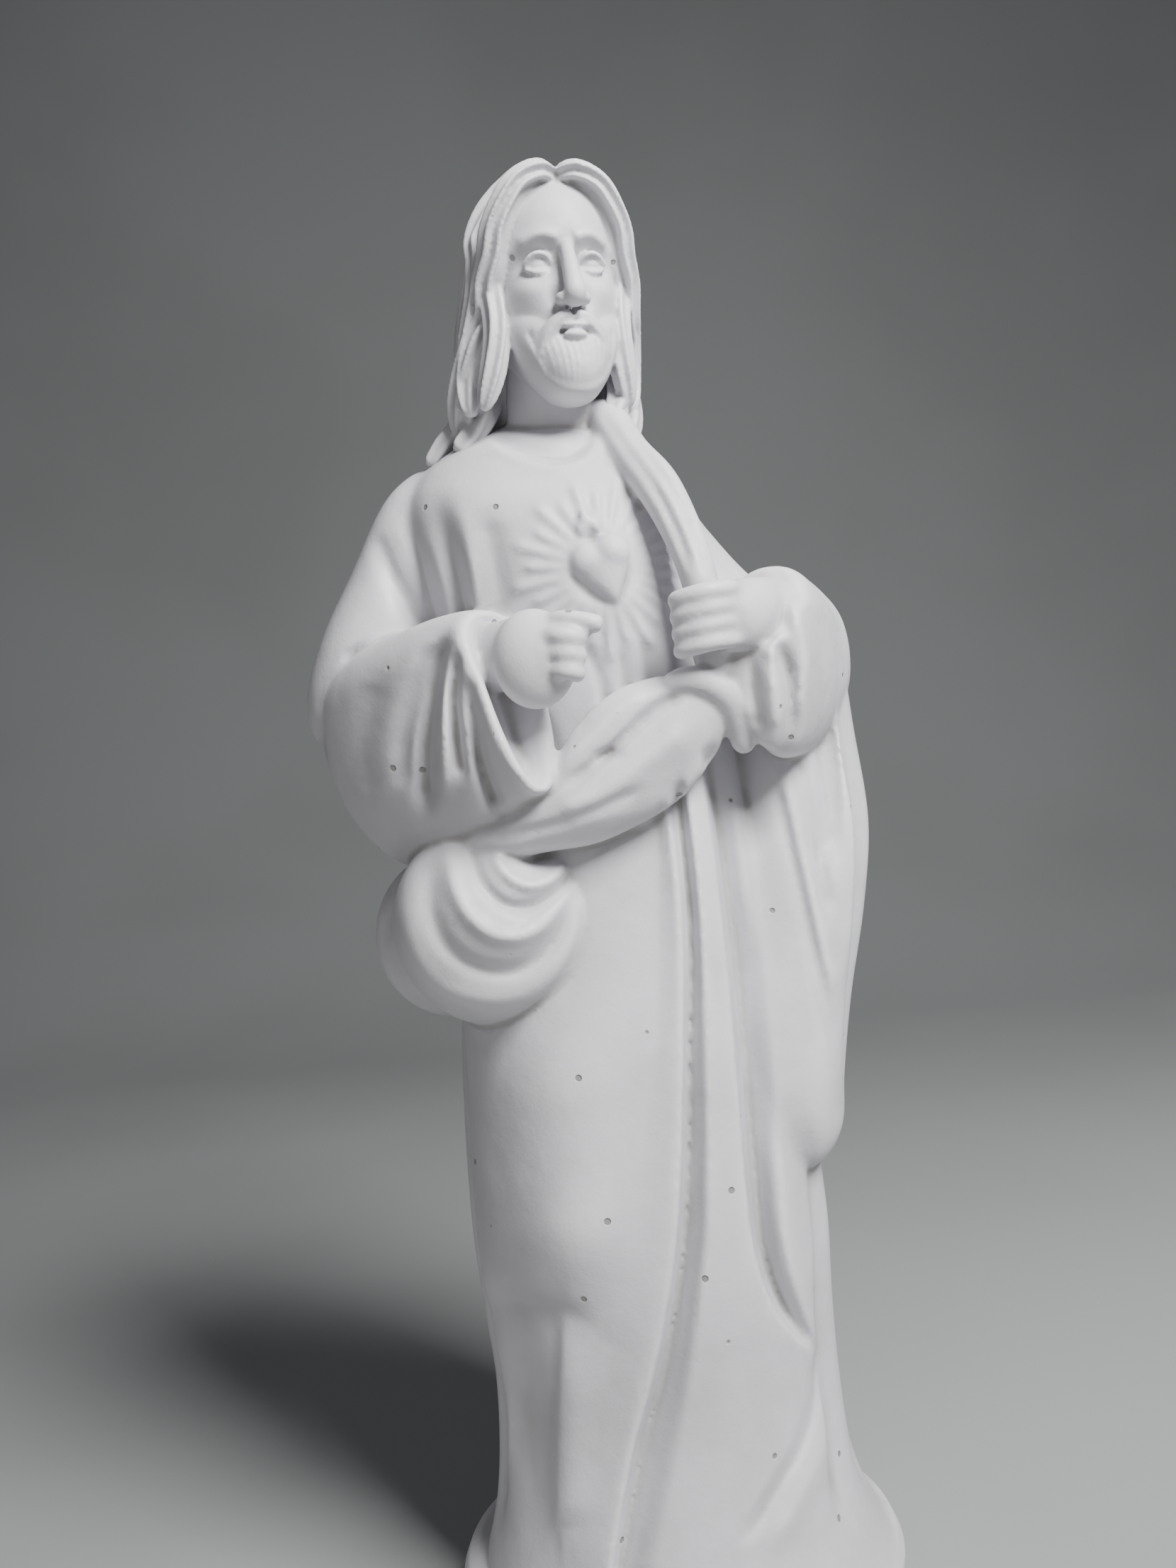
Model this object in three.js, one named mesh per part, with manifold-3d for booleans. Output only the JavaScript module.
// A cast plaster statuette of a robed, bearded figure that shows a radiant heart, on a low round base.
// Millimetres, +Z up, the chest facing -Y, the origin in the middle of the underside.
import * as THREE from 'three';
import { mergeVertices } from 'three/addons/utils/BufferGeometryUtils.js';
import Module from 'manifold-3d';

// Driving sizes
const CROWN = 300; // top of the hair in the layout
const HEAD_HEIGHT = 48; // chin to the top of the skull
const HAIR_THICKNESS = 4;
const TURN = THREE.MathUtils.degToRad( 20 ); // the figure is laid out with its chest turned this far to the right
const HEAD_TURN = THREE.MathUtils.degToRad( 14 );
const HEAD_PLACE = [ - 3.2, - 7, CROWN - HAIR_THICKNESS - HEAD_HEIGHT / 2 ];
const HEIGHT = 300; // of the finished piece, from the underside to the crown
const FLOOR = - 14; // the underside in the layout
const BASE_TOP = - 3;
const BASE_RADIUS = 48;
const TRIANGLES = 9800; // in the finished mesh
const WELD = 1e-4;

// The figure is laid out as it is seen from this eye: its folds are lines on an upright picture plane through the axis.
const EYE = { across: - 5, away: 302, up: 163.4 };

// The point at depth y that the eye sees at (across, up) on the picture plane.
function seen( across, up, y ) {

	const k = ( EYE.away + y ) / EYE.away;
	return [ EYE.across + ( across - EYE.across ) * k, y, EYE.up + ( up - EYE.up ) * k ];

}

// Smooth rows of numbers through the given rows, by Catmull-Rom splines.
function between( rows, t ) {

	const last = rows.length - 1;
	if ( last === 0 ) return rows[ 0 ];
	const s = THREE.MathUtils.clamp( t, 0, 1 ) * last;
	const k = Math.min( Math.floor( s ), last - 1 );
	const f = s - k;
	const [ a, b, c, d ] = [ k - 1, k, k + 1, k + 2 ].map( ( n ) => rows[ Math.max( 0, Math.min( last, n ) ) ] );
	return b.map( ( v, j ) => v + 0.5 * f * ( c[ j ] - a[ j ] + f * ( 2 * a[ j ] - 5 * v + 4 * c[ j ] - d[ j ] + f * ( 3 * ( v - c[ j ] ) + d[ j ] - a[ j ] ) ) ) );

}

// Straight-line reading of a number or a list of numbers at t
function reading( value, t ) {

	if ( ! Array.isArray( value ) ) return value;
	const s = THREE.MathUtils.clamp( t, 0, 1 ) * ( value.length - 1 );
	const k = Math.min( Math.floor( s ), value.length - 2 );
	return value[ k ] + ( value[ k + 1 ] - value[ k ] ) * ( s - k );

}

// A closed form from a reshaped sphere: place( t, angle ) puts the point at t along the form and angle round it.
function shell( columns, rows, place ) {

	const sphere = new THREE.SphereGeometry( 1, columns, rows );
	const bare = new THREE.BufferGeometry().setAttribute( 'position', sphere.getAttribute( 'position' ) ).setIndex( sphere.index );
	const geometry = mergeVertices( bare, WELD );
	const p = geometry.getAttribute( 'position' );
	for ( let i = 0; i < p.count; i ++ ) {

		const t = Math.acos( THREE.MathUtils.clamp( - p.getY( i ), - 1, 1 ) ) / Math.PI;
		const pole = t < 1e-6 || t > 1 - 1e-6;
		const angle = Math.atan2( - p.getZ( i ), p.getX( i ) );
		p.setXYZ( i, ...place( t, angle, pole ) );

	}

	return geometry;

}

// A point on a rounded ring
function ringPoint( angle, right, left, top, bottom, power ) {

	const [ c, s ] = [ Math.cos( angle ), Math.sin( angle ) ];
	return [
		Math.sign( c ) * Math.abs( c ) ** ( 2 / power ) * ( c > 0 ? right : left ),
		Math.sign( s ) * Math.abs( s ) ** ( 2 / power ) * ( s > 0 ? top : bottom ),
	];

}

// An upright form: rows of height, left, right, front and back.
function upright( rows, columns, count, power = 2.2 ) {

	return shell( columns, count, ( t, angle, pole ) => {

		const [ z, l, r, f, b ] = between( rows, t );
		const [ w, d ] = [ ( r - l ) / 2, ( b - f ) / 2 ];
		const [ x, y ] = pole ? [ 0, 0 ] : ringPoint( angle, w, w, d, d, power );
		return [ ( l + r ) / 2 + x, ( f + b ) / 2 + y, z ];

	} );

}

// A form that hangs: rows of x, y, z, half thickness, height above, drop below, and lean of the section along the line.
function hanging( along, rows, columns, count, power = 2.2 ) {

	return shell( columns, count, ( t, angle, pole ) => {

		const [ x, y, z, side, top, bottom, lean ] = between( rows, t );
		const [ a, b ] = pole ? [ 0, 0 ] : ringPoint( angle, side, side, top, bottom, power );
		return [ x - along[ 1 ] * a - along[ 0 ] * lean * b, y + along[ 0 ] * a - along[ 1 ] * lean * b, z + b ];

	} );

}

// A round-ended roll along a path: rows of x, y, z, half width and half height; up names the way that the height runs.
// strands, depth and twist ripple it like a lock of hair.
function roll( rows, columns, count, { up = [ 0, 0, 1 ], round = 0.12, strands = 0, depth = 0, twist = 0 } = {} ) {

	const at = ( t ) => new THREE.Vector3( ...between( rows, t ).slice( 0, 3 ) );
	return shell( columns, count, ( t, angle, pole ) => {

		const [ x, y, z, w, h ] = between( rows, t );
		const along = at( Math.min( t + 0.01, 1 ) ).sub( at( Math.max( t - 0.01, 0 ) ) ).normalize();
		const side = new THREE.Vector3( ...up ).cross( along ).normalize();
		const rise = along.clone().cross( side );
		const e = Math.min( t, 1 - t );
		const end = e < round ? Math.sqrt( Math.max( 0, 1 - ( 1 - e / round ) ** 2 ) ) : 1;
		const k = pole ? 0 : end * ( 1 + depth * Math.sin( strands * angle + twist * t ) );
		const p = new THREE.Vector3( x, y, z ).addScaledVector( side, w * k * Math.cos( angle ) ).addScaledVector( rise, h * k * Math.sin( angle ) );
		return p.toArray();

	} );

}

// An egg: centre and three radii
function egg( [ x, y, z ], [ rx, ry, rz ], columns = 40, rows = 28 ) {

	return shell( columns, rows, ( t, angle ) => {

		const s = Math.sin( Math.PI * t );
		return [ x + rx * s * Math.cos( angle ), y + ry * s * Math.sin( angle ), z - rz * Math.cos( Math.PI * t ) ];

	} );

}

// Ways of looking at a form while it is carved: each gives the place on the picture and how far the surface faces the carver.
const LOOKS = {
	eye: ( [ x, y, z ], n ) => {

		const k = EYE.away / ( EYE.away + y );
		const to = new THREE.Vector3( EYE.across - x, - EYE.away - y, EYE.up - z ).normalize();
		return [ EYE.across + ( x - EYE.across ) * k, EYE.up + ( z - EYE.up ) * k, n.dot( to ) ];

	},
	front: ( [ x, , z ], n ) => [ x, z, - n.y ],
	back: ( [ x, , z ], n ) => [ - x, z, n.y ],
	left: ( [ , y, z ], n ) => [ - y, z, - n.x ],
	right: ( [ , y, z ], n ) => [ y, z, n.x ],
};

// Strokes: [ points, height, near width, far width ]. Near is the right-hand side of the way the stroke runs:
// the left of a stroke that runs down, the underside of a stroke that runs to the right.
// A stroke of one point is a dab, and its widths run across and up.
function carve( geometry, look, strokes, turn = 0 ) {

	geometry.computeVertexNormals();
	const p = geometry.getAttribute( 'position' );
	const n = geometry.getAttribute( 'normal' );
	const paths = strokes.map( ( [ points, height, near, far ] ) => {

		const count = Math.max( 1, ( points.length - 1 ) * 8 );
		const line = Array.from( { length: count + 1 }, ( _, i ) => between( points, i / count ) );
		return { line, count, height, near, far };

	} );
	const normal = new THREE.Vector3();
	const moved = new Float32Array( p.count );
	for ( let i = 0; i < p.count; i ++ ) {

		normal.fromBufferAttribute( n, i );
		const [ u, v, facing ] = LOOKS[ look ]( [ p.getX( i ), p.getY( i ), p.getZ( i ) ], normal );
		if ( facing <= 0 ) continue;
		let sum = 0;
		for ( const { line, count, height, near, far } of paths ) {

			if ( count === 1 ) {

				const [ cu, cv ] = line[ 0 ];
				sum += height * Math.exp( - ( ( ( u - cu ) / near ) ** 2 + ( ( v - cv ) / far ) ** 2 ) );
				continue;

			}

			let best = Infinity, t = 0, side = 0;
			for ( let k = 0; k < count; k ++ ) {

				const [ au, av ] = line[ k ];
				const [ du, dv ] = [ line[ k + 1 ][ 0 ] - au, line[ k + 1 ][ 1 ] - av ];
				const f = THREE.MathUtils.clamp( ( ( u - au ) * du + ( v - av ) * dv ) / ( du * du + dv * dv + 1e-9 ), 0, 1 );
				const [ eu, ev ] = [ u - au - f * du, v - av - f * dv ];
				const d = eu * eu + ev * ev;
				if ( d < best ) [ best, t, side ] = [ d, ( k + f ) / count, eu * dv - ev * du ];

			}

			const w = reading( side > 0 ? near : far, t );
			const taper = Math.min( 1, t / 0.12, ( 1 - t ) / 0.12 );
			if ( best < 9 * w * w ) sum += reading( height, t ) * ( 0.35 + 0.65 * taper ) * Math.exp( - best / ( w * w ) );

		}

		moved[ i ] = sum * THREE.MathUtils.smoothstep( facing, 0, 0.35 );

	}

	for ( let i = 0; i < p.count; i ++ ) {

		normal.fromBufferAttribute( n, i ).multiplyScalar( moved[ i ] );
		p.setXYZ( i, p.getX( i ) + normal.x, p.getY( i ) + normal.y, p.getZ( i ) + normal.z );

	}

	return geometry;

}

// The base and the standing body

function base() {

	const r = BASE_RADIUS;
	const profile = [ [ 0, FLOOR ], [ r - 1, FLOOR ], [ r, FLOOR + 1 ], [ r + 1, FLOOR + 6 ], [ r - 0.5, BASE_TOP - 1.6 ], [ r - 3, BASE_TOP ], [ 0, BASE_TOP ] ];
	return new THREE.LatheGeometry( profile.map( ( p ) => new THREE.Vector2( ...p ) ), 96 ).rotateX( Math.PI / 2 );

}

// height, left, right, front, back
const ROBE = [
	[ - 6, - 44, 47, - 45, 41 ],
	[ 0, - 42, 43.5, - 44, 39 ],
	[ 10, - 39.5, 40, - 42, 37 ],
	[ 22, - 38, 38.5, - 40, 35 ],
	[ 36, - 37.5, 38, - 38.5, 34 ],
	[ 50, - 38.5, 38, - 38.5, 33 ],
	[ 65, - 39.5, 38.5, - 39, 33 ],
	[ 80, - 39.5, 38, - 38.5, 33 ],
	[ 95, - 39, 37, - 37, 32 ],
	[ 110, - 38, 36, - 36, 31 ],
	[ 125, - 36, 34, - 34, 30 ],
	[ 140, - 33, 33, - 32, 29 ],
	[ 155, - 31, 31, - 30.5, 28 ],
	[ 170, - 30, 29, - 29.5, 28 ],
	[ 185, - 32, 28, - 30, 28 ],
	[ 200, - 35, 26, - 31, 28 ],
	[ 213, - 38, 24, - 30, 28 ],
	[ 224, - 40, 22, - 27, 27 ],
	[ 232, - 38, 19, - 21.5, 25 ],
	[ 238, - 32, 13, - 16, 21 ],
	[ 242, - 24, 6, - 9, 17 ],
	[ 245, - 17, 2, - 5, 12 ],
];

const ROBE_STROKES = [
	[ [ [ 13, 160 ], [ 15, 148 ], [ 15.5, 135 ], [ 15, 125 ], [ 13.5, 112 ], [ 12.5, 100 ], [ 11, 90 ], [ 9, 78 ], [ 7, 66 ], [ 4.5, 55 ], [ 2, 45 ], [ - 1, 35 ], [ - 5, 24 ], [ - 9, 13 ], [ - 12, 3 ], [ - 14, - 8 ] ], [ - 4, - 5, - 6, - 7, - 7.5, - 8, - 7.5, - 7 ], [ 1.8, 2.2, 2.6, 3, 3.4 ], [ 2, 2.6, 3.4, 4.6, 6, 7 ] ],
	[ [ [ 9.5, 152 ], [ 10.5, 136 ], [ 9, 118 ], [ 7.5, 103 ], [ 5, 88 ], [ 2, 72 ], [ - 1, 58 ], [ - 4, 46 ], [ - 8, 34 ], [ - 12, 22 ], [ - 17, 10 ], [ - 20, - 2 ] ], [ 1, 1.4, 1.6, 1.8, 2 ], [ 3, 5, 7, 8 ], 2.4 ],
	[ [ [ 18, 163 ], [ 19, 145 ], [ 19.6, 125 ], [ 19, 105 ], [ 17.5, 88 ], [ 16, 72 ], [ 14.5, 60 ], [ 12, 48 ], [ 9, 36 ], [ 6, 24 ], [ 2, 10 ], [ - 1, - 4 ] ], [ 2, 2.6, 2.8, 2.6, 2, 1.5 ], [ 2.2, 2.6, 3, 4, 5 ], [ 2, 2.4, 2.8, 6, 8 ] ],
	[ [ [ 21.5, 166 ], [ 22.5, 155 ], [ 23.5, 140 ], [ 24, 125 ], [ 23.6, 110 ], [ 23.5, 95 ], [ 23, 80 ], [ 22.6, 68 ], [ 23, 58 ], [ 24.6, 50 ], [ 27.5, 42.5 ], [ 31, 37.5 ] ], [ - 4, - 6, - 7, - 8, - 8.5, - 9, - 9, - 7 ], 1.8, [ 2.5, 4, 5.5, 7, 7.5, 6, 3 ] ],
	[ [ [ 34, 62 ], [ 32, 50 ], [ 33, 40 ], [ 30, 33 ], [ 24, 33 ], [ 18, 40 ] ], [ 0.5, 1.2, 1.6, 1.6, 1.2 ], 3, 3 ],
	[ [ [ 28, 168 ], [ 30.5, 158 ], [ 32, 145 ], [ 34, 125 ], [ 35.5, 108 ], [ 35.5, 92 ], [ 34, 78 ] ], 1.8, 4.5, 3 ],
	[ [ [ 34.5, 31 ], [ 33, 22 ], [ 29, 12 ], [ 23, 3 ], [ 15, - 8 ] ], - 1.8, 2.6, 2 ],
	[ [ [ 38, 31 ], [ 37, 20 ], [ 33.5, 10 ], [ 28, 1 ], [ 21, - 9 ] ], 1, 2, 3 ],
	[ [ [ - 19, 84 ] ], 3.4, 15, 26 ],
	[ [ [ - 20, 62 ] ], 3.2, 13, 12 ],
	[ [ [ - 42, 49 ], [ - 36, 49 ], [ - 30, 48.5 ], [ - 23, 46 ], [ - 15, 41 ] ], [ - 1.6, - 2, - 1.8, - 0.8 ], 7, 3 ],
	[ [ [ - 32, 24 ] ], - 4, 5, 24 ],
	[ [ [ - 21, 47 ], [ - 22.5, 36 ], [ - 24.5, 23 ], [ - 26, 10 ], [ - 27, - 2 ] ], [ 0.8, 2, 2.2, 2 ], 1.5, 7 ],
	[ [ [ - 37.5, 40 ], [ - 37, 25 ], [ - 38.5, 14 ], [ - 42, 2 ], [ - 45, - 6 ] ], [ 0.5, 1.5, 2.2, 2.2 ], 2.5, 1.6 ],
	[ [ [ 42, 6 ], [ 45, - 4 ], [ 49, - 12 ] ], 1.5, 2.5, 2.5 ],
	[ [ [ 9.2, 156 ], [ 8.4, 142 ], [ 7.4, 130 ], [ 5.6, 118 ], [ 3, 106 ] ], [ - 1.6, - 1.6, - 1.2, - 0.6, 0 ], 1.8, 1.4 ],
	[ [ [ - 33, 229 ], [ - 31, 218 ], [ - 30, 210 ], [ - 29.5, 203 ], [ - 29, 196 ] ], [ - 2, - 3.4, - 3.8, - 3.8 ], 2, 2 ],
	[ [ [ - 27.5, 228 ], [ - 26.5, 216 ], [ - 26, 205 ], [ - 25.5, 199 ] ], [ 0.4, 1, 1.2, 1.2 ], 1.4, 1.8 ],
	[ [ [ - 22, 224 ], [ - 21, 214 ], [ - 20, 204 ] ], - 0.9, 2, 2.6 ],
	[ [ [ - 22, 247 ], [ - 17, 241.5 ], [ - 11, 238.2 ], [ - 4, 236.6 ], [ 1, 238.2 ], [ 4, 243 ] ], - 2.2, 0.7, 3 ],
	[ [ [ - 22, 245 ], [ - 17, 239.5 ], [ - 11, 236.2 ], [ - 4, 234.8 ], [ 2, 236.4 ], [ 5.5, 241 ] ], 0.7, 1.3, 0.9 ],
	[ [ [ - 2, 193 ], [ 0, 186 ], [ 1, 178 ] ], - 0.8, 1.2, 1.2 ],
	[ [ [ 5, 192 ], [ 5.5, 186 ], [ 6, 181 ] ], - 0.8, 1, 1.2 ],
	[ [ [ 10, 194 ], [ 10.5, 189 ], [ 11, 184 ] ], - 0.8, 1, 1.2 ],
	[ [ [ - 14, 180 ], [ - 12, 172 ], [ - 12, 164 ] ], - 0.8, 1.4, 1.6 ],
];

// Folds of the skirt behind and at the sides
const backFolds = () => [
	...[ - 30, - 17, - 3, 11, 25 ].map( ( x, i ) => [ [ [ x * 0.8, 135 - 6 * i ], [ x * 0.95, 90 ], [ x, 50 ], [ x * 1.15, 12 ] ], [ - 1, - 2.6, - 3.4, - 3.6 ], 3.4, 4.2 ] ),
];

const sideFolds = () => [
	[ [ [ - 18, 110 ], [ - 20, 70 ], [ - 22, 30 ], [ - 26, 10 ] ], [ - 0.5, - 1.6, - 2, - 2 ], 3, 3.5 ],
	[ [ [ - 4, 112 ], [ - 5, 75 ], [ - 7, 35 ], [ - 8, 10 ] ], [ - 0.5, - 2, - 2.4, - 2.4 ], 3, 3.5 ],
	[ [ [ 11, 112 ], [ 11, 70 ], [ 12, 35 ], [ 13, 10 ] ], [ - 0.5, - 2, - 2.4, - 2.4 ], 3, 3.5 ],
];

const RAYS = 26;
const HEART_AT = [ 3, 211 ];

// Rays of two lengths round the heart
const rays = () => Array.from( { length: RAYS }, ( _, i ) => {

	const a = ( i + 0.5 ) / RAYS * 2 * Math.PI;
	const [ c, d ] = [ Math.cos( a ), Math.sin( a ) ];
	const reach = i % 2 ? 20.5 : 17.5;
	return [ [ 7.5, 0.5 * ( 7.5 + reach ), reach ].map( ( r ) => [ HEART_AT[ 0 ] + r * c, HEART_AT[ 1 ] + r * d ] ), 1, 1, 1 ];

} );

function robe() {

	const form = upright( ROBE, 168, 168 );
	carve( form, 'eye', [ ...ROBE_STROKES, ...rays() ] );
	carve( form, 'back', backFolds() );
	carve( form, 'left', sideFolds() );
	return carve( form, 'right', sideFolds() );

}

const neck = () => roll( [ [ - 7, 4, 222, 11, 11 ], [ - 6, - 1, 238, 10.2, 10.4 ], [ - 5, - 5, 254, 9.5, 10 ], [ - 4, - 6, 262, 9, 9 ] ], 40, 24, { up: [ 0, 1, 0 ] } );

// Feet that show under the hem
function feet() {

	return [ [ - 17, - 42 ], [ 14, - 38 ] ].flatMap( ( [ x, y ], n ) => {

		const turn = n ? 0.5 : 0.12;
		const sole = egg( [ 0, 2, 0 ], [ 5.6, 10, 4.4 ], 28, 20 );
		const toes = Array.from( { length: 5 }, ( _, i ) => {

			const k = n ? i : 4 - i;
			const size = [ 1.9, 1.5, 1.4, 1.3, 1.2 ][ k ];
			const across = ( n ? 1 : - 1 ) * [ - 3.4, - 1, 1.1, 3, 4.6 ][ k ];
			return egg( [ across, - 7.4 + 0.7 * k, - 0.8 ], [ size, 2.8, size ], 16, 12 );

		} );
		return [ sole, ...toes ].map( ( g ) => g.rotateZ( turn ).translate( x, y, BASE_TOP + 1.6 ) );

	} );

}

// Arms and sleeves

const UPPER_ARM_STROKES = [
	[ [ [ - 47, 224 ], [ - 44, 214 ], [ - 40, 205 ], [ - 37, 199 ] ], [ - 1, - 1.8, - 1.8, - 1 ], 2.4, 1.6 ],
	[ [ [ - 42, 226 ], [ - 39, 215 ], [ - 36.5, 206 ], [ - 35, 200 ] ], 0.8, 1.6, 1.6 ],
	[ [ [ - 57, 196 ], [ - 53, 197.4 ], [ - 48, 197 ], [ - 43, 195 ] ], [ - 0.6, - 1.8, - 1.8, - 1.4 ], 1.6, 1.4 ],
	[ [ [ - 58, 193.5 ], [ - 52, 195 ], [ - 46, 194 ] ], 0.8, 1.6, 1 ],
];

const upperArms = () => [
	carve( roll( [ [ - 27, 2, 230, 10, 10 ], [ - 35, 2, 224, 11.5, 13 ], [ - 43, 1, 209, 12, 14 ], [ - 49, 0, 195, 13.5, 15 ], [ - 52, 0, 184, 14, 14 ], [ - 52, 0, 176, 11, 11 ] ], 72, 56, { up: [ 0, 1, 0 ] } ), 'eye', UPPER_ARM_STROKES ),
	roll( [ [ 3, 4, 230, 9, 9 ], [ 10, 5, 225, 11, 12 ], [ 18, 6, 212, 11.5, 13 ], [ 27, 7, 199, 12.5, 13 ], [ 38, 8, 189, 13, 12 ], [ 44, 8, 185, 9, 9 ] ], 60, 48, { up: [ 0, 1, 0 ] } ),
];

// x, y, z, half thickness, above, below, lean; the last rows run back inside the cuff
const RIGHT_SLEEVE = [
	[ - 60, 11, 181, 3, 4, 5, 0 ],
	[ - 56, 7, 182, 10, 11, 16, 0 ],
	[ - 50, - 1, 183, 14.5, 13.5, 28, 0 ],
	[ - 43, - 9, 185, 15.5, 13.5, 36, 0 ],
	[ - 36, - 17, 187, 14.5, 12.5, 38, 0.1 ],
	[ - 29, - 25, 189, 12.5, 11.5, 34, 0.2 ],
	[ - 23, - 32, 190, 10.5, 10.5, 29, 0.28 ],
	[ - 20, - 36, 190, 9, 9.6, 27.5, 0.32 ],
	[ - 20.4, - 35.6, 190, 5.4, 7.6, 25, 0.32 ],
	[ - 24, - 32, 190, 3.4, 6.4, 22, 0.3 ],
];

const RIGHT_SLEEVE_STROKES = [
	[ [ [ - 36, 198 ], [ - 41, 187 ], [ - 45, 176 ], [ - 46, 166 ] ], [ - 1.8, - 2.6, - 2.4, - 1 ], 2.8, 2.2 ],
	[ [ [ - 33.5, 199 ], [ - 37, 188 ], [ - 40, 176 ], [ - 41.5, 162 ] ], [ - 2.4, - 4.4, - 4.6, - 3 ], 2, 1.8 ],
	[ [ [ - 32.5, 197 ], [ - 35, 187 ], [ - 36.5, 176 ], [ - 37, 164 ] ], [ 1, 2, 2, 1.2 ], 1.4, 1.5 ],
	[ [ [ - 31.5, 196 ], [ - 33, 186 ], [ - 33.2, 176 ], [ - 33, 168 ] ], [ - 2, - 4, - 4, - 2 ], 1.4, 1.3 ],
	[ [ [ - 29.8, 190 ], [ - 29.2, 180 ], [ - 28.5, 170 ], [ - 26, 160 ] ], [ - 1.4, - 3.4, - 4.4, - 4 ], 1.3, 2.2 ],
	[ [ [ - 26.5, 199 ], [ - 26, 189 ], [ - 22.5, 176 ], [ - 18, 165 ] ], [ 0.8, 1.2, 1.6, 1.6 ], 2, 1.2 ],
	[ [ [ - 50, 190 ], [ - 54, 178 ], [ - 54, 166 ] ], - 1, 3, 3 ],
];

const LEFT_SLEEVE = [
	[ 49, 13, 185, 3, 4, 4, 0 ],
	[ 48, 8, 186, 9, 11, 12, 0 ],
	[ 45, - 2, 189, 10.5, 12, 20, 0 ],
	[ 41.5, - 12, 192, 10, 10.5, 26, 0 ],
	[ 38, - 21, 194, 9.5, 9.5, 29, 0 ],
	[ 35.5, - 27, 195, 8.8, 9, 30, 0 ],
	[ 34, - 30.5, 194, 8, 5, 28, 0 ],
	[ 31.5, - 34, 189, 6.6, 1, 21, 0 ],
	[ 29.4, - 36.4, 187, 4, 0.5, 13, 0 ],
];

const LEFT_SLEEVE_STROKES = [
	[ [ [ 33, 192 ], [ 33.4, 184 ], [ 34.4, 172 ] ], [ - 1, - 1.8, - 1.6 ], 1.5, 1.8 ],
	[ [ [ 36.8, 188 ], [ 38.4, 181 ], [ 38, 172 ] ], [ 0.6, 1.2, 1 ], 1.8, 1.6 ],
	[ [ [ 39.5, 192 ], [ 42, 184 ], [ 41.4, 174 ], [ 38.6, 166 ] ], [ - 1, - 2.6, - 2.4, - 1 ], 1.5, 1.8 ],
	[ [ [ 41, 205 ], [ 45, 196 ], [ 46, 186 ], [ 43.5, 174 ] ], [ 0.8, 1.2, 1.4, 1 ], 1.6, 1.4 ],
	[ [ [ 39, 207 ], [ 40.4, 200 ], [ 40, 192 ], [ 38, 187 ] ], [ 1, 1.2, 1 ], 0.9, 1.6 ],
];

const sleeves = () => [
	carve( hanging( [ 0.69, - 0.724 ], RIGHT_SLEEVE, 96, 96 ), 'eye', RIGHT_SLEEVE_STROKES ),
	carve( hanging( [ - 0.37, - 0.93 ], LEFT_SLEEVE, 72, 72 ), 'eye', LEFT_SLEEVE_STROKES ),
];

// The mantle: its fall from the left arm, the strip held in the left hand, the swag and the pouch at the right hip

// height, left, right, front, back
const MANTLE_FALL = [
	[ 77, 28, 34, - 14, 8 ],
	[ 80, 24, 39.5, - 22, 18 ],
	[ 86, 20, 43.5, - 26, 25 ],
	[ 96, 18, 45, - 28, 28 ],
	[ 113, 18, 48.5, - 26, 28 ],
	[ 132, 20, 53.5, - 23, 28 ],
	[ 150, 22, 56.5, - 20, 28 ],
	[ 170, 24, 55.5, - 17, 27 ],
	[ 188, 27, 54, - 15, 24 ],
	[ 198, 30, 50, - 12, 18 ],
	[ 203, 36, 44, - 4, 8 ],
];

const MANTLE_STROKES = [
	[ [ [ 47, 196 ], [ 49, 183 ], [ 49.5, 168 ], [ 49, 154 ], [ 47, 140 ] ], [ - 2, - 4, - 4.2, - 3.2, - 1.2 ], 3.4, 2.6 ],
	[ [ [ 51, 196 ], [ 53.4, 180 ], [ 54, 165 ], [ 54.6, 150 ], [ 52, 132 ], [ 48, 115 ] ], 0.8, 1.6, 1.6 ],
	[ [ [ 36, 164 ], [ 38, 147 ], [ 40, 130 ], [ 42.5, 112 ], [ 45, 99 ] ], [ - 1.6, - 2, - 1.8, - 1.4 ], 2.4, 1.3 ],
	[ [ [ 38, 162 ], [ 40.5, 145 ], [ 43, 128 ], [ 45.5, 112 ] ], 0.8, 1, 2 ],
	[ [ [ 43, 165 ], [ 44, 148 ], [ 46, 130 ] ], - 1.2, 1.6, 2 ],
];

const mantleSide = () => [
	[ [ [ - 10, 190 ], [ - 12, 160 ], [ - 14, 130 ], [ - 15, 96 ] ], [ - 1, - 2.4, - 2.4, - 1.4 ], 3, 3 ],
	[ [ [ 4, 195 ], [ 3, 160 ], [ 3, 125 ], [ 4, 92 ] ], [ - 1, - 3, - 3, - 1.6 ], 3, 3.5 ],
	[ [ [ 17, 188 ], [ 17, 155 ], [ 17, 120 ], [ 18, 90 ] ], [ - 1, - 2.6, - 2.6, - 1.4 ], 3, 3 ],
];

const mantleFall = () => carve( carve( upright( MANTLE_FALL, 96, 96, 2.4 ), 'eye', MANTLE_STROKES ), 'right', mantleSide() );

// The mantle over the back: height, left, right, front, back
const MANTLE_BACK = [
	[ 92, - 24, 34, 8, 28 ],
	[ 94, - 34, 40, 2, 34 ],
	[ 100, - 39, 42, 0, 36.5 ],
	[ 116, - 43, 42, - 2, 36 ],
	[ 134, - 45, 43, - 2, 34.5 ],
	[ 155, - 40, 44, 0, 33.5 ],
	[ 175, - 37, 45, 1, 33 ],
	[ 195, - 38, 42, 2, 32.5 ],
	[ 212, - 38.5, 34, 3, 31 ],
	[ 226, - 36, 24, 5, 28 ],
	[ 236, - 25, 14, 8, 24 ],
	[ 241, - 14, 5, 10, 18 ],
];

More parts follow.
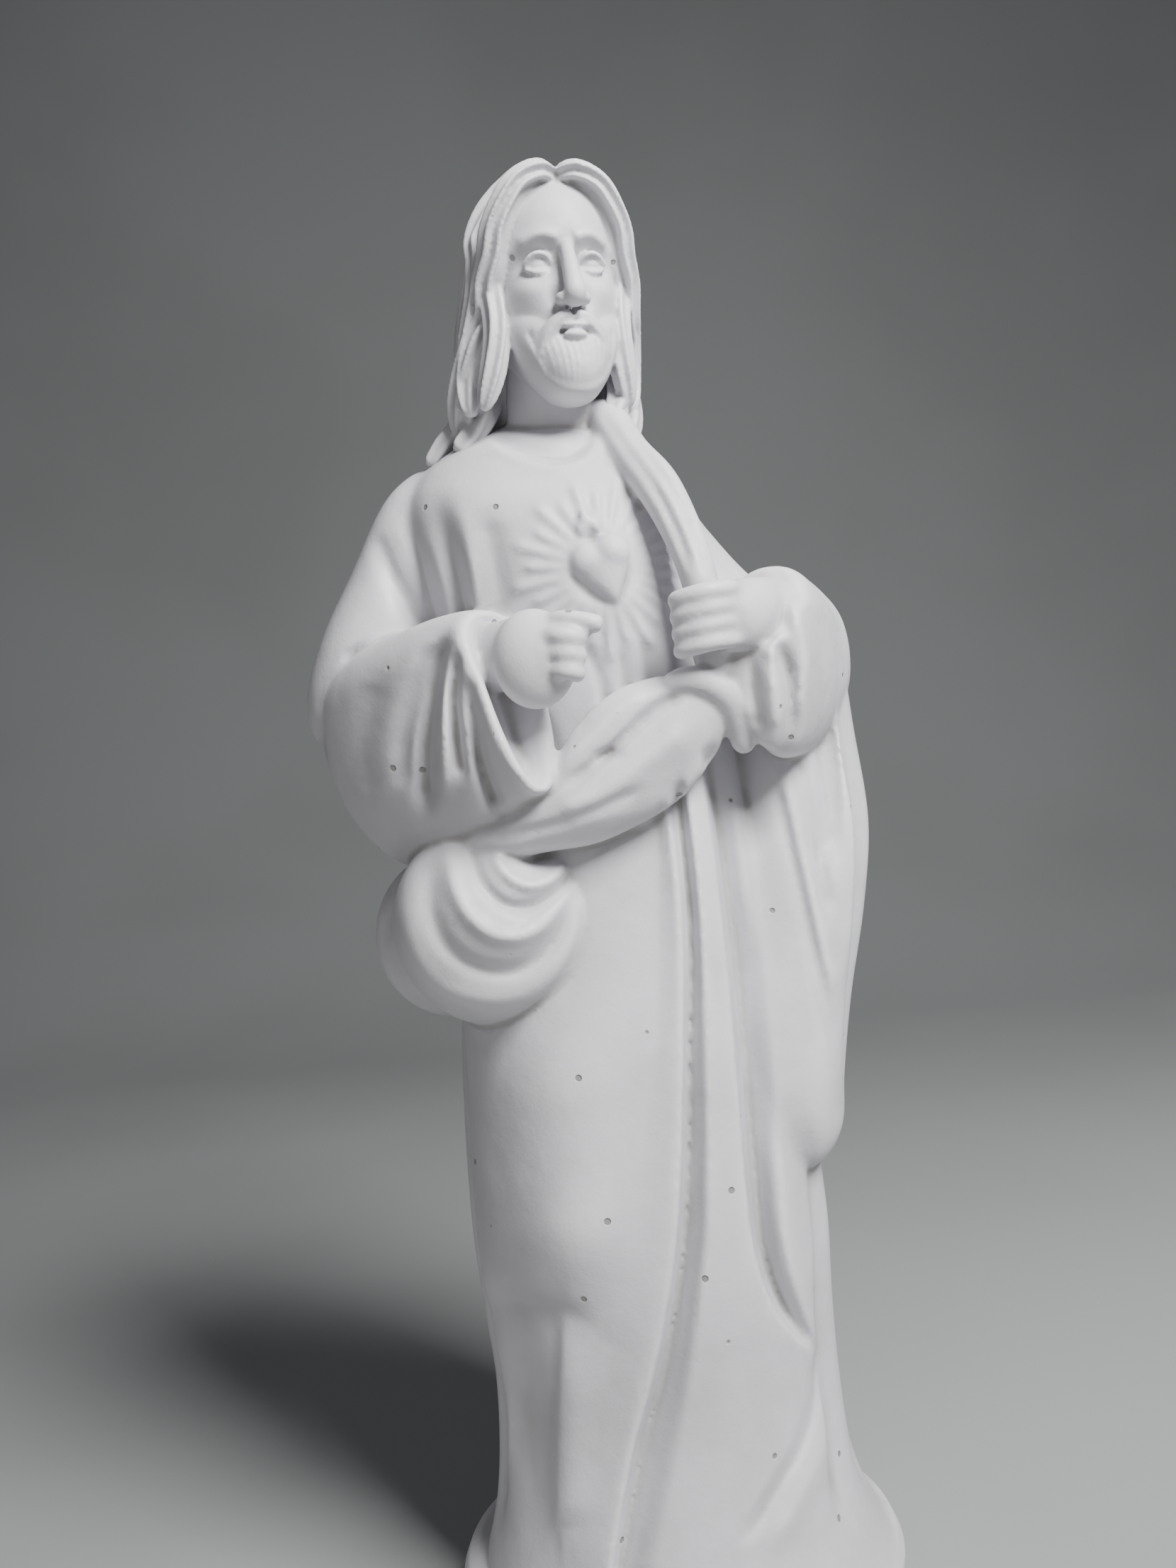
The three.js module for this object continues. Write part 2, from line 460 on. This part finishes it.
const MANTLE_BACK_STROKES = [
	[ [ [ - 16, 238 ], [ - 6, 208 ], [ 10, 178 ], [ 30, 150 ] ], [ - 1, - 3, - 3, - 1.6 ], 4, 5 ],
	[ [ [ - 2, 238 ], [ 8, 214 ], [ 22, 190 ], [ 38, 168 ] ], [ - 1, - 2.6, - 2.6, - 1.6 ], 3.4, 4 ],
	[ [ [ - 24, 214 ], [ - 16, 184 ], [ 0, 154 ], [ 24, 128 ] ], [ - 1, - 3.2, - 3.2, - 2 ], 4, 5 ],
	[ [ [ - 33, 190 ], [ - 28, 160 ], [ - 14, 132 ], [ 6, 112 ] ], [ - 1, - 3, - 3, - 2 ], 4, 5 ],
	[ [ [ 10, 232 ], [ 19, 216 ], [ 30, 202 ] ], - 1.6, 3, 3 ],
];

// Its hem rises towards the pouch
function mantleBack() {

	const form = carve( upright( MANTLE_BACK, 132, 120 ), 'back', MANTLE_BACK_STROKES );
	const p = form.getAttribute( 'position' );
	for ( let i = 0; i < p.count; i ++ ) {

		const low = Math.max( 0, 150 - p.getZ( i ) ) / 58;
		p.setZ( i, p.getZ( i ) - 0.26 * p.getX( i ) * low );

	}

	return form;

}

const STRIP_STROKES = [
	[ [ [ 6.5, 245 ], [ 11, 237 ], [ 15.5, 229.5 ], [ 19.5, 220 ], [ 22.5, 210 ] ], [ - 0.6, - 1.2, - 1.4, - 1.4 ], 0.8, 1 ],
	[ [ [ 11, 243 ], [ 16, 234 ], [ 20.5, 226 ], [ 24, 216 ], [ 26, 208 ] ], [ - 0.6, - 1, - 1, - 0.8 ], 0.8, 0.9 ],
];

const strip = () => carve( roll( [
	[ 2, 14, 241, 5, 4 ],
	[ ...seen( 6, 245, - 6 ), 4.2, 3.6 ],
	[ ...seen( 11.5, 236, - 18 ), 4.4, 4 ],
	[ ...seen( 16.5, 229, - 26 ), 4.6, 4 ],
	[ ...seen( 20.5, 220, - 30 ), 4.2, 4 ],
	[ ...seen( 23.5, 210, - 33 ), 3.8, 4 ],
	[ ...seen( 25, 200, - 34 ), 3.6, 4 ],
	[ ...seen( 25.5, 190, - 33 ), 4, 4 ],
	[ ...seen( 28, 181, - 30 ), 3.6, 4 ],
], 44, 96, { up: [ 0, - 1, 0 ] } ), 'eye', STRIP_STROKES );

const SWAG_STROKES = [
	[ [ [ - 10, 163.5 ], [ - 2, 168.5 ], [ 4, 173 ], [ 11, 178.5 ], [ 18, 182 ] ], [ - 1.2, - 2.6, - 2.4, - 1.6 ], 1.4, 1.2 ],
	[ [ [ - 12, 158 ], [ - 2, 161 ], [ 8, 167 ], [ 18, 174 ] ], 1.1, 3.4, 2.6 ],
	[ [ [ 0, 169.5 ] ], - 1.8, 2.6, 1.2 ],
	[ [ [ - 26, 153.5 ], [ - 14, 155 ], [ - 4, 157.5 ], [ 6, 161 ] ], - 0.9, 1.2, 1.2 ],
	[ [ [ - 14, 166 ], [ - 6, 172 ], [ 2, 178.5 ], [ 9, 183 ] ], 1, 2, 1.6 ],
];

const swag = () => carve( roll( [
	[ ...seen( - 38, 149.5, - 19 ), 5, 3 ],
	[ ...seen( - 28, 152, - 28 ), 6, 4 ],
	[ ...seen( - 17, 156, - 32 ), 6.4, 6.5 ],
	[ ...seen( - 7, 160, - 33.5 ), 6.6, 9.5 ],
	[ ...seen( 2, 166, - 33 ), 6.6, 12 ],
	[ ...seen( 10, 171.5, - 32 ), 6.6, 12.5 ],
	[ ...seen( 18, 176, - 31 ), 6.6, 10 ],
	[ ...seen( 24, 179, - 28.5 ), 6, 6.5 ],
	[ ...seen( 30, 179, - 22 ), 5, 4 ],
], 84, 108 ), 'eye', SWAG_STROKES );

const hook = () => roll( [ [ ...seen( 14, 183, - 34 ), 2.4, 2.2 ], [ ...seen( 20, 184.6, - 36 ), 2.8, 2.4 ], [ ...seen( 26, 181.5, - 35 ), 3, 2.6 ], [ ...seen( 29.5, 175, - 32 ), 3, 2.4 ], [ ...seen( 31, 167, - 29 ), 2.4, 2 ] ], 24, 40, { up: [ 0, - 1, 0 ] } );

const POUCH_STROKES = [
	[ [ [ - 46.5, 152 ], [ - 49, 140 ], [ - 48.5, 130 ], [ - 44, 121.5 ], [ - 36, 117 ], [ - 27, 116 ], [ - 18.5, 119.5 ], [ - 12, 127 ], [ - 8, 137 ], [ - 5, 149 ] ], [ 1, 1.6, 2, 2.2, 2.2, 2, 2, 2, 1.6 ], 3, 3.4 ],
	[ [ [ - 41.5, 150 ], [ - 42.5, 138 ], [ - 39, 129 ], [ - 31.5, 124 ], [ - 23, 124 ], [ - 15.5, 130 ], [ - 11, 140 ] ], [ - 0.8, - 1.4, - 1.8, - 1.8, - 1.6, - 1 ], 1.8, 2.2 ],
	[ [ [ - 37.5, 152 ], [ - 37, 143 ], [ - 34, 136 ], [ - 28.5, 131.5 ], [ - 22, 131 ], [ - 15.5, 135 ], [ - 10, 144 ] ], [ 1, 1.6, 1.8, 1.8, 1.6, 1 ], 1.9, 2 ],
	[ [ [ - 32.5, 152 ], [ - 31, 144 ], [ - 26.5, 138.4 ], [ - 20, 137.2 ], [ - 13.5, 140.4 ], [ - 9, 147 ] ], [ - 1, - 1.8, - 2.2, - 2.2, - 1.2 ], 1.4, 1.4 ],
	[ [ [ - 28, 152 ], [ - 25.5, 145.6 ], [ - 21, 142.2 ], [ - 16, 142.6 ], [ - 11.5, 146 ], [ - 7.5, 151 ] ], [ 1, 1.8, 2, 1.8, 1 ], 1.3, 1.4 ],
	[ [ [ - 22, 149.6 ], [ - 18, 147.8 ], [ - 13.5, 149.6 ] ], - 3, 1.6, 2.6 ],
];

const POUCH_BACK_STROKES = [
	[ [ [ - 52, 146 ], [ - 53.6, 134 ], [ - 50.6, 122 ], [ - 45, 116 ] ], - 1.2, 1.2, 1.6 ],
];

const pouch = () => [
	carve( egg( seen( - 28, 135, - 18.5 ), [ 22, 21, 22 ], 96, 84 ), 'eye', POUCH_STROKES ),
	carve( egg( [ - 38, 2, 133 ], [ 17.5, 24, 18.5 ] ), 'eye', POUCH_BACK_STROKES ),
];

// Hands

function finger( points, radius ) {

	return roll( points.map( ( p ) => [ ...p, radius, radius ] ), 16, 20, { round: 0.16 } );

}

function leftHand() {

	const back = roll( [ [ 38, - 25, 195, 4.5, 6.5 ], [ 33, - 32, 194.5, 4.6, 7 ], [ 28, - 36, 193.8, 4.4, 7.2 ], [ 23, - 37, 193.5, 3.6, 6.8 ] ], 28, 24 );
	const fingers = [ 0, 1, 2, 3 ].map( ( i ) => {

		const z = 198.9 - 3.3 * i;
		return finger( [ [ 28, - 36.5, z ], [ 25, - 39.8, z - 0.2 ], [ 20.5, - 41.2, z - 0.7 ], [ 16.5, - 39.6, z - 1.3 ], [ 15.2, - 36.5, z - 1.5 ] ], 1.95 - 0.07 * i );

	} );
	return [ back, ...fingers ];

}

function rightHand() {

	const palm = egg( [ - 13, - 41, 188.5 ], [ 8.2, 5.6, 9.8 ] );
	const wrist = roll( [ [ - 25, - 30, 190, 5, 6.5 ], [ - 20, - 36, 190, 5, 7 ], [ - 14, - 40, 189.5, 5, 8 ] ], 28, 20 );
	const index = finger( [ [ - 10, - 42, 195 ], [ - 6.5, - 44, 195.2 ], [ - 2.5, - 44.5, 194.3 ], [ 0.6, - 44, 193.4 ] ], 1.9 );
	const curled = [ 0, 1, 2 ].map( ( i ) => {

		const z = 191.4 - 3.3 * i;
		return finger( [ [ - 11, - 43.5, z + 1 ], [ - 7.5, - 45.8, z + 0.5 ], [ - 4.6 - 0.4 * i, - 45.2, z ], [ - 4.2 - 0.5 * i, - 42.5, z ] ], 1.95 - 0.05 * i );

	} );
	return [ palm, wrist, index, ...curled ];

}

// Head, in its own frame: the origin at the middle of the skull, the face to -Y

const SKULL = [
	[ - 26, - 3, 3, - 12, - 4 ],
	[ - 25, - 5.5, 5.5, - 15.2, 0 ],
	[ - 22.5, - 8, 8, - 17.4, 4 ],
	[ - 18, - 10.6, 10.6, - 18, 10 ],
	[ - 12, - 12.6, 12.6, - 17.6, 15 ],
	[ - 6, - 13.8, 13.8, - 17.2, 19 ],
	[ 0, - 14.4, 14.4, - 17, 20.5 ],
	[ 6, - 14.8, 14.8, - 17.8, 20.5 ],
	[ 12, - 14.2, 14.2, - 16.6, 19 ],
	[ 18, - 12, 12, - 13.6, 15.5 ],
	[ 22, - 8, 8, - 9, 10.5 ],
	[ 24, - 2, 2, - 2, 3 ],
];

const bothSides = ( strokes ) => [ - 1, 1 ].flatMap( ( s ) => strokes.map( ( [ points, height, near, far ] ) => {

	const swap = s < 0 && points.length > 1;
	return [ points.map( ( [ x, z ] ) => [ x * s, z ] ), height, swap ? far : near, swap ? near : far ];

} ) );

const FACE_STROKES = [
	...bothSides( [
		[ [ [ 5.6, 0 ] ], - 2.6, 3.8, 2.9 ],
		[ [ [ 1.8, 3.6 ], [ 5.4, 4.9 ], [ 9.6, 3.6 ] ], 1.1, 1.1, 1.8 ],
		[ [ [ 8.6, - 5.5 ] ], 0.9, 3.2, 2.8 ],
		[ [ [ 8.2, - 12.5 ] ], - 0.9, 2.8, 3.6 ],
		[ [ [ 3.2, - 8.5 ] ], - 0.8, 1.3, 2.4 ],
		[ [ [ 12, 8 ] ], - 0.6, 3, 4 ],
	] ),
	[ [ [ - 3.6, - 15.2 ], [ 0, - 15 ], [ 3.6, - 15.2 ] ], - 1.1, 0.7, 0.6 ],
	[ [ [ 0, - 19.2 ] ], - 0.8, 3, 1.1 ],
];

function faceForms() {

	const lids = [ - 1, 1 ].flatMap( ( s ) => [
		egg( [ s * 5.6, - 12.6, - 0.3 ], [ 2.9, 2.9, 2.5 ], 24, 18 ),
		roll( [ [ 2.7, - 14.4, - 0.7 ], [ 4, - 15.7, 1 ], [ 5.7, - 16, 1.5 ], [ 7.4, - 15.3, 1 ], [ 8.8, - 13.8, - 0.6 ] ].map( ( [ x, y, z ] ) => [ s * x, y, z, 0.6, 0.6 ] ), 12, 20 ),
		roll( [ [ 2.9, - 14.3, - 0.9 ], [ 4.2, - 15.3, - 2 ], [ 5.8, - 15.5, - 2.3 ], [ 7.4, - 14.8, - 1.9 ], [ 8.7, - 13.7, - 0.8 ] ].map( ( [ x, y, z ] ) => [ s * x, y, z, 0.45, 0.5 ] ), 12, 20 ),
	] );
	const nose = [
		roll( [ [ 0, - 15.8, 4.5, 1.6, 1.6 ], [ 0, - 17.8, 0, 1.6, 1.8 ], [ 0, - 19.8, - 5, 1.9, 2 ], [ 0, - 20.8, - 8.4, 2.2, 2.1 ], [ 0, - 18.4, - 10, 2.2, 1.4 ] ], 20, 28, { up: [ 0, 1, 0 ] } ),
		egg( [ - 2.3, - 18.6, - 9 ], [ 1.5, 2, 1.4 ], 20, 14 ),
		egg( [ 2.3, - 18.6, - 9 ], [ 1.5, 2, 1.4 ], 20, 14 ),
	];
	const lips = [ egg( [ 0, - 18.2, - 14.3 ], [ 3, 1.4, 0.8 ], 20, 12 ), egg( [ 0, - 18.1, - 16.2 ], [ 2.6, 1.5, 1 ], 20, 12 ) ];
	return [ carve( upright( SKULL, 96, 96, 2.15 ), 'front', FACE_STROKES ), ...lids, ...nose, ...lips ];

}

// height, half width, front, back
const BEARD = [
	[ - 28.6, 2, - 15, - 9 ],
	[ - 27.4, 4.8, - 18, - 5 ],
	[ - 24, 7.6, - 19.8, - 1 ],
	[ - 20, 9.8, - 19.8, 3 ],
	[ - 16, 11.6, - 18.6, 6 ],
	[ - 11, 13, - 16, 8 ],
	[ - 5, 13.9, - 11, 8 ],
	[ 0, 14, - 6, 6 ],
];

const BEARD_STROKES = [
	[ [ [ 0, - 15.6 ] ], - 2.2, 3.4, 2 ],
	...Array.from( { length: 13 }, ( _, i ) => {

		const a = i - 6;
		return [ [ [ a * 1.5, - 17.6 + 0.1 * a * a ], [ a * 1.32 + 0.3, - 21.5 + 0.07 * a * a ], [ a * 0.95, - 27.4 + 0.08 * a * a ] ], - 0.7, 0.5, 0.6 ];

	} ),
];

function beardForms() {

	const moustache = ( s ) => roll( [ [ 0.3, - 18, - 12, 0.9, 1.1 ], [ 2.4, - 18, - 12.7, 1.1, 1.4 ], [ 4.8, - 17, - 14.6, 1.1, 1.6 ], [ 6.6, - 15.8, - 17.6, 0.9, 1.4 ], [ 7.4, - 15, - 20.4, 0.7, 1 ] ]
		.map( ( [ x, ...r ] ) => [ s * x, ...r ] ), 16, 24, { strands: 5, depth: 0.1, twist: 4 } );
	const beard = upright( BEARD.map( ( [ z, w, f, b ] ) => [ z, - w, w, f, b ] ), 72, 60 );
	return [ carve( beard, 'front', BEARD_STROKES ), moustache( - 1 ), moustache( 1 ) ];

}

// Locks of hair from the parting over the cap and down to the shoulders
function hairForms() {

	const cap = egg( [ 0, 3.5, 3.5 ], [ 15.4, 18, 22.2 ] );
	const nape = upright( [ [ - 34, - 10, 10, 6, 15 ], [ - 24, - 14, 14, 3, 19 ], [ - 12, - 15.5, 15.5, 1, 21 ], [ 4, - 15.5, 15.5, 0, 21 ], [ 14, - 12, 12, 0, 18 ] ], 48, 36 );
	const locks = [];
	for ( const s of [ - 1, 1 ] ) {

		const spread = s < 0 ? 4 : 0;
		const fall = s < 0 ? [ [ 18, - 1, - 14 ], [ 20.4, 3, - 23 ], [ 21, 6, - 31 ] ] : [ [ 15.4, - 0.5, - 13 ], [ 15, 1.5, - 22 ], [ 13.6, 2, - 30 ] ];
		const front = [ [ 0.4, - 11.4, 19.4 ], [ 4.4, - 13.2, 19 ], [ 8.6, - 13.4, 16.6 ], [ 11.4, - 12.4, 12.6 ], [ 13.4, - 10.6, 8 ], [ 14, - 8.6, 3 ], [ 15, - 6, - 2 ], [ 15, - 3.6, - 8 ], ...fall ];
		locks.push( roll( front.map( ( [ x, y, z ], i ) => [ s * x, y, z, 2.4 + 0.12 * i, 4 - 0.06 * i ] ), 36, 120, { up: [ 0, 1, 0 ], strands: 5, depth: 0.12, twist: s * 9 } ) );
		for ( let i = 0; i < 4; i ++ ) {

			const a = THREE.MathUtils.degToRad( 62 + 34 * i );
			const path = Array.from( { length: 10 }, ( _, k ) => {

				const e = THREE.MathUtils.degToRad( 82 - 15 * k );
				const r = Math.cos( Math.max( e, 0 ) );
				const wave = 0.9 * Math.sin( 1.7 * k + i );
				const low = Math.max( 0, k - 5 );
				return [
					s * ( ( 15.2 * r + spread * low / 3 ) * Math.sin( a + 0.05 * wave ) + 0.8 ),
					3.5 - 18 * r * Math.cos( a + 0.05 * wave ) - ( k < 2 ? ( 6 - 2 * i ) / ( k + 1 ) : 0 ),
					e > 0 ? 2.4 + 21.2 * Math.sin( e ) : 2.4 - 8.6 * ( k - 5.46 ),
					4.6, 2.3,
				];

			} );
			locks.push( roll( path, 36, 84, { up: [ s * Math.sin( a ), - Math.cos( a ), 0.01 ], strands: 5, depth: 0.14, twist: s * 7 + i } ) );

		}

	}

	return [ cap, nape, ...locks ];

}

const shoulderLocks = () => [
	[ [ - 19, 2, 262 ], [ - 22.5, - 1, 252 ], [ - 26, - 4, 244.5 ], [ - 30, - 5, 240.5 ], [ - 33.5, - 5, 236.5 ] ],
	[ [ - 17, 0, 258 ], [ - 19.5, - 5, 248 ], [ - 22.5, - 9, 242 ], [ - 26.5, - 11, 237.5 ] ],
	[ [ 8, - 2, 262 ], [ 10, - 5, 252 ], [ 9, - 10, 244 ], [ 6, - 13, 239 ] ],
	[ [ 10, 2, 260 ], [ 12, 0, 250 ], [ 12, - 4, 242 ], [ 10, - 8, 236 ] ],
].map( ( path, i ) => roll( path.map( ( p, k ) => [ ...p, 3.4 - 0.5 * k, 2.8 - 0.35 * k ] ), 28, 48, { up: [ 0, - 1, 0 ], strands: 4, depth: 0.16, twist: i < 2 ? 5 : - 5 } ) );

function placeHead( geometry ) {

	return geometry.rotateZ( HEAD_TURN ).translate( ...HEAD_PLACE );

}

// Heart on the chest, with a crown of flame, in a sunburst of rays
function heart() {

	const [ x, y, z ] = seen( ...HEART_AT, - 30.5 );
	const lobe = ( s ) => egg( [ s * 2.5, 0, 2.4 ], [ 3.8, 3.2, 4 ], 28, 24 );
	const tip = roll( [ [ 0, 0, 2.6, 5.9, 2.9 ], [ 0, 0, - 0.6, 5.2, 2.9 ], [ 0, 0, - 4, 3.1, 2.6 ], [ 0, 0, - 7.6, 0.6, 1.4 ] ], 32, 28, { up: [ 0, 1, 0 ], round: 0.2 } );
	const flame = [ - 1, 0, 1 ].map( ( s ) => egg( [ s * 1.5, 0.8, 9 + ( s ? 0 : 1.4 ) ], [ 1.1, 1.6, s ? 2 : 2.8 ], 16, 12 ) );
	return [ lobe( - 1 ), lobe( 1 ), tip, ...flame ].map( ( g ) => g.rotateY( - 0.26 ).translate( x, y, z ) );

}

// One solid

const wasm = await Module();
wasm.setup();

function solid( geometry ) {

	const bare = new THREE.BufferGeometry().setAttribute( 'position', geometry.getAttribute( 'position' ) ).setIndex( geometry.index );
	const g = mergeVertices( bare, WELD );
	const index = g.index.array;
	const kept = [];
	for ( let i = 0; i < index.length; i += 3 ) {

		const [ a, b, c ] = index.slice( i, i + 3 );
		if ( a !== b && b !== c && c !== a ) kept.push( a, b, c );

	}

	const made = new wasm.Manifold( new wasm.Mesh( { numProp: 3, vertProperties: g.attributes.position.array, triVerts: new Uint32Array( kept ) } ) );
	if ( made.volume() <= 0 ) throw new Error( 'a form is inside out' );
	return made;

}

function geometryOf( manifold ) {

	const mesh = manifold.getMesh();
	return new THREE.BufferGeometry()
		.setAttribute( 'position', new THREE.BufferAttribute( new Float32Array( mesh.vertProperties ), 3 ) )
		.setIndex( new THREE.BufferAttribute( new Uint32Array( mesh.triVerts ), 1 ) );

}

// How much a change matters at a place: most on the head and the hands, least at the back
function importance( { x, y, z } ) {

	if ( z > 244 ) return y < 0 ? 7 : 2.5;
	if ( z > 178 && z < 208 && y < - 32 ) return 5;
	if ( z > 190 && y < - 24 ) return 2.5;
	return y < 4 ? 1.3 : 0.6;

}

// The mesh with fewer triangles, by collapsing edges in order of least change (quadric error),
// only where the surface stays closed and no face turns over.
function simplified( geometry, triangles, weight ) {

	const source = geometry.getAttribute( 'position' );
	const points = Array.from( { length: source.count }, ( _, i ) => new THREE.Vector3().fromBufferAttribute( source, i ) );
	const faces = [];
	for ( let i = 0; i < geometry.index.count; i += 3 ) faces.push( [ 0, 1, 2 ].map( ( j ) => geometry.index.getX( i + j ) ) );
	const around = points.map( () => [] );
	faces.forEach( ( f, i ) => f.forEach( ( v ) => around[ v ].push( i ) ) );
	const quadrics = points.map( () => new Float64Array( 10 ) );
	const version = new Uint32Array( points.length );
	const [ e1, e2 ] = [ new THREE.Vector3(), new THREE.Vector3() ];
	const normalOf = ( a, b, c ) => e1.subVectors( b, a ).cross( e2.subVectors( c, a ) ).clone();

	for ( const f of faces ) {

		const [ a, b, c ] = f.map( ( v ) => points[ v ] );
		const n = normalOf( a, b, c );
		const w = n.length() * weight( a );
		n.normalize();
		const plane = [ n.x, n.y, n.z, - n.dot( a ) ];
		for ( const v of f ) {

			let k = 0;
			for ( let i = 0; i < 4; i ++ ) for ( let j = i; j < 4; j ++ ) quadrics[ v ][ k ++ ] += w * plane[ i ] * plane[ j ];

		}

	}

	const errorAt = ( q, { x, y, z } ) => x * ( q[ 0 ] * x + 2 * ( q[ 1 ] * y + q[ 2 ] * z + q[ 3 ] ) )
		+ y * ( q[ 4 ] * y + 2 * ( q[ 5 ] * z + q[ 6 ] ) ) + z * ( q[ 7 ] * z + 2 * q[ 8 ] ) + q[ 9 ];

	const heap = [];
	function push( item ) {

		let i = heap.push( item ) - 1;
		while ( i > 0 ) {

			const up = ( i - 1 ) >> 1;
			if ( heap[ up ].cost <= item.cost ) break;
			heap[ i ] = heap[ up ];
			i = up;

		}

		heap[ i ] = item;

	}

	function pop() {

		const top = heap[ 0 ];
		const item = heap.pop();
		if ( heap.length ) {

			let i = 0;
			for ( let k = 1; k < heap.length; k = 2 * i + 1 ) {

				if ( k + 1 < heap.length && heap[ k + 1 ].cost < heap[ k ].cost ) k ++;
				if ( heap[ k ].cost >= item.cost ) break;
				heap[ i ] = heap[ k ];
				i = k;

			}

			heap[ i ] = item;

		}

		return top;

	}

	const matrix = new THREE.Matrix3();
	function consider( a, b ) {

		const q = quadrics[ a ].map( ( v, i ) => v + quadrics[ b ][ i ] );
		const middle = points[ a ].clone().lerp( points[ b ], 0.5 );
		const length = points[ a ].distanceTo( points[ b ] );
		const choices = [ middle, points[ a ], points[ b ] ];
		matrix.set( q[ 0 ], q[ 1 ], q[ 2 ], q[ 1 ], q[ 4 ], q[ 5 ], q[ 2 ], q[ 5 ], q[ 7 ] );
		if ( Math.abs( matrix.determinant() ) > 1e-5 * ( q[ 0 ] + q[ 4 ] + q[ 7 ] ) ** 3 ) {

			const best = new THREE.Vector3( - q[ 3 ], - q[ 6 ], - q[ 8 ] ).applyMatrix3( matrix.invert() );
			if ( best.distanceTo( middle ) < length ) choices.push( best );

		}

		const [ cost, at ] = choices.map( ( c ) => [ errorAt( q, c ), c ] ).sort( ( c, d ) => c[ 0 ] - d[ 0 ] )[ 0 ];
		push( { cost: Math.max( cost, 0 ) + 0.001 * length ** 3, a, b, at: at.clone(), stamp: version[ a ] + version[ b ] } );

	}

	const ring = ( v ) => new Set( around[ v ].flatMap( ( f ) => faces[ f ] ).filter( ( w ) => w !== v ) );
	points.forEach( ( _, v ) => ring( v ).forEach( ( w ) => v < w && consider( v, w ) ) );
	let live = faces.length;
	while ( live > triangles && heap.length ) {

		const { a, b, at, stamp } = pop();
		if ( ! around[ a ].length || ! around[ b ].length || version[ a ] + version[ b ] !== stamp ) continue;
		const [ ringA, ringB ] = [ ring( a ), ring( b ) ];
		if ( ! ringA.has( b ) || [ ...ringA ].filter( ( v ) => ringB.has( v ) ).length !== 2 ) continue;
		const gone = around[ a ].filter( ( f ) => faces[ f ].includes( b ) );
		const kept = [ ...around[ a ], ...around[ b ] ].filter( ( f ) => ! gone.includes( f ) );
		const turned = kept.some( ( f ) => {

			const before = normalOf( ...faces[ f ].map( ( v ) => points[ v ] ) );
			const after = normalOf( ...faces[ f ].map( ( v ) => v === a || v === b ? at : points[ v ] ) );
			return after.dot( before ) < 0.25 * after.length() * before.length() || after.length() < 1e-4;

		} );
		if ( turned ) continue;
		points[ a ].copy( at );
		quadrics[ a ] = quadrics[ a ].map( ( v, i ) => v + quadrics[ b ][ i ] );
		kept.forEach( ( f ) => faces[ f ] = faces[ f ].map( ( v ) => v === b ? a : v ) );
		gone.forEach( ( f ) => faces[ f ].forEach( ( v ) => around[ v ] = around[ v ].filter( ( g ) => g !== f ) ) );
		around[ a ] = kept;
		around[ b ] = [];
		live -= gone.length;
		version[ a ] ++;
		ring( a ).forEach( ( v ) => consider( a, v ) );

	}

	const place = new Map();
	const kept = faces.filter( ( f, i ) => around[ f[ 0 ] ].includes( i ) );
	kept.flat().forEach( ( v ) => place.has( v ) || place.set( v, place.size ) );
	return new THREE.BufferGeometry()
		.setAttribute( 'position', new THREE.Float32BufferAttribute( [ ...place.keys() ].flatMap( ( v ) => points[ v ].toArray() ), 3 ) )
		.setIndex( kept.flat().map( ( v ) => place.get( v ) ) );

}

const headForms = [ ...faceForms(), ...beardForms(), ...hairForms() ].map( placeHead );
const forms = [ base(), robe(), ...feet(), neck(), ...upperArms(), ...sleeves(), mantleFall(), mantleBack(), strip(), swag(), hook(), ...pouch(), ...leftHand(), ...rightHand(), ...headForms, ...shoulderLocks(), ...heart() ];
const dense = geometryOf( forms.map( solid ).reduce( ( a, b ) => a.add( b ) ) );
const figure = simplified( dense, TRIANGLES, importance );

// Turn the chest to the front, bring it to size, and stand it on the origin
figure.rotateZ( - TURN ).translate( 0, 0, - FLOOR ).computeBoundingBox();
const size = HEIGHT / figure.boundingBox.max.z;
figure.scale( size, size, size ).computeBoundingBox();
const middle = figure.boundingBox.getCenter( new THREE.Vector3() );
figure.translate( - middle.x, - middle.y, 0 );

const plaster = new THREE.MeshStandardMaterial( { color: 0xd9d8dc, roughness: 0.62, metalness: 0 } );
const statue = new THREE.Mesh( figure, plaster );
statue.name = 'statue';

const group = new THREE.Group();
group.add( statue );
export default group;
